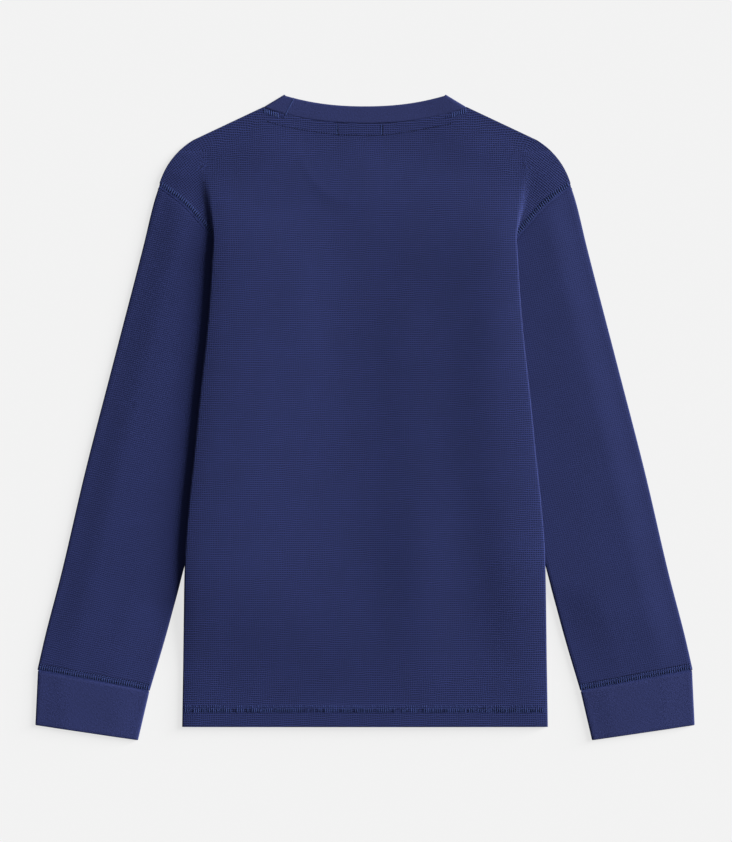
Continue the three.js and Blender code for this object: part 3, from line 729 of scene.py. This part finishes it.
def back_sheets(side):
    """The three grids of one half: below the pleat, the pleat with its wing, and the shoulder."""
    rows = BACK_ROWS
    hem_top = HEM_DEPTH + HEM_STEP
    heights = [HEM_DEPTH * k / rows["hem"] for k in range(rows["hem"])] + [HEM_DEPTH - HEM_STEP, hem_top]
    heights += [mix(hem_top, PLEAT_END, k / rows["side"]) for k in range(1, rows["side"] + 1)]
    below = [back_row(side, y, None) for y in heights]
    pleat = []
    for k in range(rows["pleat"] + 1):
        y = mix(PLEAT_END, PLEAT_TOP.y, k / rows["pleat"])
        out_to = read(ARMHOLE, y) - SEAM_GAP / 2 if y < SLEEVE_TOP.y else shoulder_outer(y)
        pleat.append(back_row(side, y, out_to))
    main, wing = BACK_COLUMNS["main"], BACK_COLUMNS["wing"]
    bottom = [Vector(point[:2]) for point, _ in pleat[-1][:main + 1] + pleat[-1][-wing:]]
    ends = back_top()
    shoulder = []
    for k in range(rows["shoulder"] + 1):
        row = []
        for low, top in zip(bottom, ends):
            p = low.lerp(top, k / rows["shoulder"])
            row.append(((p.x, p.y, free_height(side, p.x, p.y)), knit_at(p.x, p.y)))
        shoulder.append(row)
    return below, pleat, shoulder


back_mesh = bmesh.new()
for side in (1, -1):
    for sheet in back_sheets(side):
        lay_sheet(back_mesh, sheet, side < 0)
back = finish_cloth(back_mesh, "back_panel", KNIT, navy_waffle, "back")

# Neckband
# The band is a ring of the doubled jersey, folded along its upper edge and sewn to the neck all round.
# It is closed by a short seam at the wearer's left shoulder. Laid flat it folds at both shoulders, and its
# front half lies on the surface inside the neck.
BAND_PEAK_OUT = (NECK_PEAK - SHOULDER_POINT).normalized()
BAND_OUT = Vector((BAND_PEAK_OUT.y, -BAND_PEAK_OUT.x))
BAND_WIDTH = 18
BAND_INSET = FOLD_R + 0.8
BAND_COLUMNS = {"half": 36, "fold": 6}
BAND_ROWS = 8
band_seam_end = SHOULDER_POINT + BAND_PEAK_OUT * 0.4 - BAND_OUT * BAND_INSET
band_edge_end = NECK_PEAK - BAND_OUT * BAND_INSET


def band_sheet():
    """Rows of one half of the ring, from the middle of the back over the fold to the middle front."""
    halves = []
    for seam, seam_power, edge, edge_power in (
        (BACK_NECK["seam"], BACK_NECK["power"], NECK_EDGE["back"], NECK_EDGE["back power"]),
        (FRONT_NECK["seam"], FRONT_NECK["power"], NECK_EDGE["front"], NECK_EDGE["front power"]),
    ):
        sewn = neck_curve(seam + SEAM_GAP, band_seam_end, seam_power, BAND_COLUMNS["half"])
        folded = neck_curve(edge, band_edge_end, edge_power, BAND_COLUMNS["half"])
        halves.append((sewn, folded))
    sheet = []
    low, high = JERSEY_LAYERS["low"], JERSEY_LAYERS["high"]
    for v in (k / BAND_ROWS for k in range(BAND_ROWS + 1)):
        over, under = ([a.lerp(b, v) for a, b in zip(sewn, folded)] for sewn, folded in halves)
        row = []
        reach = 0
        last = over[0]
        for k, p in enumerate(over):
            reach += (p - last).length
            last = p
            z = mix(BACK_IN_NECK, high, smooth(0.55, 1, k / BAND_COLUMNS["half"]))
            row.append(((p.x, p.y, z), (reach, BAND_WIDTH * v)))
        for k in range(1, BAND_COLUMNS["fold"]):
            angle = math.pi * k / BAND_COLUMNS["fold"]
            p = over[-1] + BAND_OUT * FOLD_R * math.sin(angle)
            z = (low + high) / 2 + FOLD_R * math.cos(angle)
            row.append(((p.x, p.y, z), (reach + FOLD_R * angle, BAND_WIDTH * v)))
        reach += math.pi * FOLD_R
        last = under[-1]
        for p in reversed(under):
            reach += (p - last).length
            last = p
            row.append(((p.x, p.y, low), (reach, BAND_WIDTH * v)))
        sheet.append(row)
    return sheet


band_mesh = bmesh.new()
for mirrored in (False, True):
    lay_sheet(band_mesh, band_sheet(), mirrored)
band = finish_cloth(band_mesh, "neckband_cloth", RIB, navy_jersey, "neckband", round_edge=0.7)

# Sewing
# The armholes, cuffs, shoulders and hem carry a flat ladder stitch in thread a little bluer than the
# cloth; at the armholes, cuffs and hem thin near-black rungs between the threads are painted shade. Under
# each seam lie the pressed edges of the two pieces, bound together and coloured near-black as painted shade
# in the seam's gap. Fine stitches across the back hold the tape inside the neck, and two short bars next
# to them are sewn right through.
THREAD_HEIGHT = 0.7
FACE = KNIT / 2


def thread_material(name, colour, twist):
    """Twisted sewing thread, with fine slanting plies, painted darker in the grooves between them as shade.
    """
    material = bpy.data.materials.new(name)
    material.use_nodes = True
    nodes, links = material.node_tree.nodes, material.node_tree.links
    shader = nodes["Principled BSDF"]
    place = nodes.new("ShaderNodeTexCoord")
    plies = nodes.new("ShaderNodeTexWave")
    plies.bands_direction = "DIAGONAL"
    plies.inputs["Scale"].default_value = twist
    plies.inputs["Distortion"].default_value = 2
    links.new(place.outputs["Object"], plies.inputs["Vector"])
    # The grooves between the plies get the darker colour: painted shade.
    plies_with_painted_shade = nodes.new("ShaderNodeMix")
    plies_with_painted_shade.data_type = "RGBA"
    plies_with_painted_shade.inputs["A"].default_value = (*[0.7 * part for part in colour], 1)
    plies_with_painted_shade.inputs["B"].default_value = (*colour, 1)
    links.new(plies.outputs["Fac"], plies_with_painted_shade.inputs["Factor"])
    links.new(plies_with_painted_shade.outputs["Result"], shader.inputs["Base Color"])
    add_relief(material, plies.outputs["Fac"], strength=0.5, depth=0.0001)
    shader.inputs["Roughness"].default_value = 0.8
    shader.inputs["Specular IOR Level"].default_value = 0.1
    return material


bright_thread = thread_material("navy_thread", (0.036, 0.056, 0.18), 900)
plain_thread = thread_material("cloth_thread", (0.026, 0.036, 0.135), 900)
# Near-black thread: the thin rungs between the bright ones at the armholes, cuffs and hem are painted
# shade; it also sews the tape's stitches and the bars.
shade_and_dark_thread = thread_material("painted_shade_and_dark_thread", (0.0065, 0.009, 0.036), 900)
# The pressed edges are real, but their near-black colour is painted shade of the seam's gap.
shaded_bound_edge = thread_material("bound_edges_painted_shade", (0.006, 0.008, 0.032), 500)
SEWING_MATERIALS = [shaded_bound_edge, bright_thread, plain_thread, shade_and_dark_thread]
SHADED_BOUND, BRIGHT, PLAIN, SHADE_AND_DARK = range(4)


def stitch_shape():
    """A rounded thread along X, tapered to both ends, that every stitch is a copy of."""
    thread = bmesh.new()
    bmesh.ops.create_uvsphere(
        thread, u_segments=8, v_segments=6, radius=1, matrix=Matrix.Rotation(math.pi / 2, 4, "Y"),
    )
    for face in thread.faces:
        face.smooth = True
    mesh = bpy.data.meshes.new("stitch")
    thread.to_mesh(mesh)
    thread.free()
    return mesh


one_stitch = stitch_shape()


def add_stitch(bm, start, end, width, height, material):
    """One stitch, a slim thread that dips into the cloth at both ends."""
    along = end - start
    turn = along.to_track_quat("X", "Z").to_matrix().to_4x4()
    size = Matrix.Diagonal((along.length / 2, width / 2, height / 2, 1))
    place = Matrix.Translation((start + end) / 2) @ turn @ size
    corners, sides = len(bm.verts), len(bm.faces)
    bm.from_mesh(one_stitch)
    bm.verts.ensure_lookup_table()
    bm.faces.ensure_lookup_table()
    bmesh.ops.transform(bm, matrix=place, verts=bm.verts[corners:])
    for face in bm.faces[sides:]:
        face.material_index = material


def walk(path, pitch, phase=0.5):
    """Points at an even pitch along a line, each with the direction of the line there."""
    steps = []
    left = pitch * phase
    for a, b in zip(path, path[1:]):
        length = (b - a).length
        while left < length:
            steps.append((a.lerp(b, left / length), (b - a).normalized()))
            left += pitch
        left -= length
    return steps


def add_ladder(bm, path, surface, side, pitch, reach, lean, material, chance=1, width=1, phase=0.5):
    """Rungs beside a seam, from reach[0] to reach[1] away from it, on the cloth's surface."""
    for point, along in walk(path, pitch, phase):
        if random.random() > chance:
            continue
        away = Vector((along.y, -along.x))
        shift = along * (lean + random.uniform(-0.15, 0.15))
        ends = [point + away * reach[0] - shift / 2, point + away * reach[1] + shift / 2]
        a, b = (Vector((side * p.x, p.y, surface(p.x, p.y) + 0.05)) for p in ends)
        add_stitch(bm, a, b, width * random.uniform(0.85, 1.15), THREAD_HEIGHT, material)


def add_bound_edges(bm, path, height, side, width=6, material=SHADED_BOUND):
    """The two pressed edges under a seam, as one thin strip along it."""
    columns = len(path) - 1

    def place(column, row):
        before, after = path[max(column - 1, 0)], path[min(column + 1, columns)]
        along = (after - before).normalized()
        point = path[column] + Vector((along.y, -along.x)) * width * (row / 2 - 0.5)
        return (point.x, point.y, height(path[column].x, path[column].y)), (column, row)

    strip = bmesh.new()
    lay_grid(strip, columns, 2, place, side < 0)
    strip.normal_update()
    bmesh.ops.solidify(strip, geom=strip.faces[:], thickness=0.4)
    for face in strip.faces:
        face.material_index = material
    made = bpy.data.meshes.new("strip")
    strip.to_mesh(made)
    strip.free()
    bm.from_mesh(made)
    bpy.data.meshes.remove(made)


def finish_sewing(bm, name):
    bmesh.ops.recalc_face_normals(bm, faces=bm.faces)
    add_piece(bm, name, SEWING_MATERIALS)


def sleeve_face(x, y):
    return sleeve_high(x, y) + FACE


def in_seam(x, y):
    return sleeve_face(x, y) - 0.15


def between_layers(x, y):
    return (sleeve_high(x, y) + sleeve_low(x, y)) / 2


random.seed(14)
armhole_path = [Vector((read(ARMHOLE, y), y)) for y in (540.5 - 2 * k for k in range(61))]
shown_armhole = [p for p in armhole_path if p.y > 484]
cuff_path = [CUFF_TOP[0].lerp(CUFF_TOP[1], 0.006 + 0.988 * k / 24) for k in range(25)]
# Beside each bright rung a thin dark one is the shade between two threads.
for side, name in ((-1, "left"), (1, "right")):
    seam = bmesh.new()
    add_bound_edges(seam, armhole_path, between_layers, side)
    add_bound_edges(seam, armhole_path, in_seam, side, width=1.6, material=PLAIN)
    add_ladder(seam, shown_armhole, sleeve_face, side, 2.4, (0.7, 6.0), -1.1, BRIGHT, width=1.3)
    add_ladder(seam, shown_armhole, sleeve_face, side, 2.4, (1.8, 5.2), -0.9, SHADE_AND_DARK, width=0.6, phase=0.98)
    finish_sewing(seam, "armhole_seam_" + name)
    seam = bmesh.new()
    add_bound_edges(seam, cuff_path, between_layers, side)
    add_bound_edges(seam, cuff_path, in_seam, side, width=2, material=PLAIN)
    add_ladder(seam, cuff_path, sleeve_face, side, 2.25, (1.0, 5.2), -0.4, BRIGHT)
    add_ladder(seam, cuff_path, sleeve_face, side, 2.25, (1.8, 4.6), -0.2, SHADE_AND_DARK, width=0.6, phase=0.98)
    add_ladder(seam, cuff_path, sleeve_face, side, 2.25, (6.0, 6.4), 1.7, BRIGHT, width=0.9)
    add_ladder(seam, cuff_path, sleeve_face, side, 2.25, (7.1, 7.5), 1.5, SHADE_AND_DARK, width=0.9)
    finish_sewing(seam, "cuff_seam_" + name)

# Hem: its ladder is thin, uneven and almost the colour of the cloth.
hem = bmesh.new()
hem_path = [Vector((3 * k, HEM_DEPTH - 2.5)) for k in range(61)]
for side in (-1, 1):
    def hem_face(x, y):
        return main_height(side, x, y) + FACE

    add_ladder(hem, hem_path, hem_face, side, 2.15, (-0.8, 4.3), 0.1, BRIGHT, chance=0.85, width=0.9)
    # The thin dark rungs between the threads, and the dark marks along the seam line, are painted shade.
    add_ladder(hem, hem_path, hem_face, side, 2.15, (0, 4), 0.1, SHADE_AND_DARK, chance=0.6, width=0.5, phase=0.98)
    add_ladder(hem, hem_path, hem_face, side, 2.15, (-3.4, -1), 0.2, BRIGHT, chance=0.6, width=0.7)
    add_ladder(hem, hem_path, hem_face, side, 2.15, (0, 0.2), 1.6, SHADE_AND_DARK, chance=0.4, width=0.4)
finish_sewing(hem, "hem_stitches")

# Neck: the seam under the band, its ladder at the shoulders, the tape's stitches and the two bars.
neck = bmesh.new()
NECK_STEPS = 60
neck_path = neck_curve(BACK_NECK["seam"], SHOULDER_POINT, BACK_NECK["power"], NECK_STEPS)
TAPE_LINE = [
    (-98, 606), (-80, 600.6), (-56, 596.2), (-27, 592.5), (2, 591.8), (20, 592.1), (46, 595.8),
    (83, 602.8), (90, 605.7),
]
# Each bar has its place across the back, its top and its bottom.
BARS = [(-27, 603, 592), (17.7, 603, 592)]
BAND_JOIN = [Vector((-71, 629.4, 3.5)), Vector((-79.4, 612.6, 3.3))]


def under_band(x, y):
    return mix(BACK_IN_NECK, JERSEY_LAYERS["high"], smooth(55, 100, x)) - 1.1


for side in (-1, 1):
    def back_face(x, y):
        return free_height(side, x, y) + FACE

    add_bound_edges(neck, neck_path[:NECK_STEPS - 1], under_band, side, width=5)
    add_ladder(neck, neck_path[50:], back_face, side, 2.3, (0.8, 6.0), -2.2, BRIGHT, width=1.3)
    add_ladder(neck, neck_path[44:51], back_face, side, 2.1, (2.0, 5.0), -1.4, PLAIN, chance=0.6, width=0.6)


def on_back(x, y):
    return Vector((x, y, free_height(1 if x > 0 else -1, abs(x), y) + FACE))


for point, along in walk([Vector(p) for p in TAPE_LINE], 2.5):
    half = along * random.uniform(0.55, 0.8)
    width = random.uniform(1.1, 1.4)
    add_stitch(neck, on_back(*(point - half)), on_back(*(point + half)), width, 0.6, SHADE_AND_DARK)
for x, top, bottom in BARS:
    for k in range(4):
        y0, y1 = mix(top, bottom, k / 4), mix(top, bottom, (k + 1.1) / 4)
        add_stitch(neck, on_back(x + 0.3 * (k % 2), y0), on_back(x, y1), 1.6, 0.5, SHADE_AND_DARK)
        add_stitch(neck, on_back(x - 1.3, y0), on_back(x - 1.4, y1), 1.2, 0.6, BRIGHT)
# The short seam that closes the band is one row of stitches, each a little over the next.
JOIN_STITCHES = 7
for k in range(JOIN_STITCHES):
    ends = (BAND_JOIN[0].lerp(BAND_JOIN[1], part / JOIN_STITCHES) for part in (k, k + 1.4))
    add_stitch(neck, *ends, 1.2, 0.45, BRIGHT)
finish_sewing(neck, "neck_stitches")
bpy.data.meshes.remove(one_stitch)

# Floor, light and camera
# A pale plain floor, two soft lights low at the upper right, the lower one to show the relief of the
# cloth, and a camera straight above the garment.
floor_mesh = bmesh.new()
bmesh.ops.create_grid(floor_mesh, x_segments=1, y_segments=1, size=4)
floor_data = bpy.data.meshes.new("floor")
floor_mesh.to_mesh(floor_data)
floor_mesh.free()
floor = bpy.data.objects.new("floor", floor_data)
bpy.context.scene.collection.objects.link(floor)
pale = bpy.data.materials.new("pale_floor")
pale.use_nodes = True
pale_shader = pale.node_tree.nodes["Principled BSDF"]
pale_shader.inputs["Base Color"].default_value = (0.16, 0.16, 0.16, 1)
pale_shader.inputs["Emission Color"].default_value = (1, 1, 1, 1)
pale_shader.inputs["Emission Strength"].default_value = 0.722
pale_shader.inputs["Roughness"].default_value = 1
pale_shader.inputs["Specular IOR Level"].default_value = 0
floor_data.materials.append(pale)

world = bpy.data.worlds.new("studio")
world.use_nodes = True
studio = world.node_tree
dim_light = studio.nodes["Background"]
dim_light.inputs["Color"].default_value = (1, 1, 1, 1)
dim_light.inputs["Strength"].default_value = 0.15
# Beyond the floor the view meets a backdrop as pale as the floor, which gives no more light.
backdrop = studio.nodes.new("ShaderNodeBackground")
backdrop.inputs["Color"].default_value = (1, 1, 1, 1)
backdrop.inputs["Strength"].default_value = 0.885
seen = studio.nodes.new("ShaderNodeLightPath")
either = studio.nodes.new("ShaderNodeMixShader")
studio.links.new(seen.outputs["Is Camera Ray"], either.inputs[0])
studio.links.new(dim_light.outputs[0], either.inputs[1])
studio.links.new(backdrop.outputs[0], either.inputs[2])
studio.links.new(either.outputs[0], studio.nodes["World Output"].inputs["Surface"])
bpy.context.scene.world = world

# Each light has a strength, a width and a height above the floor, the last two in degrees.
for name, energy, width, lift in (("key", 6.4, 30, 23), ("low_light", 2.6, 12, 8)):
    light = bpy.data.objects.new(name, bpy.data.lights.new(name, "SUN"))
    light.data.energy = energy
    light.data.angle = math.radians(width)
    towards = Vector((0.91, 0.42, math.tan(math.radians(lift))))
    light.rotation_euler = towards.to_track_quat("Z", "Y").to_euler()
    bpy.context.scene.collection.objects.link(light)

# Through this long lens one pixel of the picture is about 1 mm of the cloth.
camera = bpy.data.objects.new("camera", bpy.data.cameras.new("camera"))
camera.data.lens = 100
camera.location = (0.001, -0.00425, 2.343)
bpy.context.scene.collection.objects.link(camera)
bpy.context.scene.camera = camera
bpy.context.scene.view_settings.view_transform = "Standard"
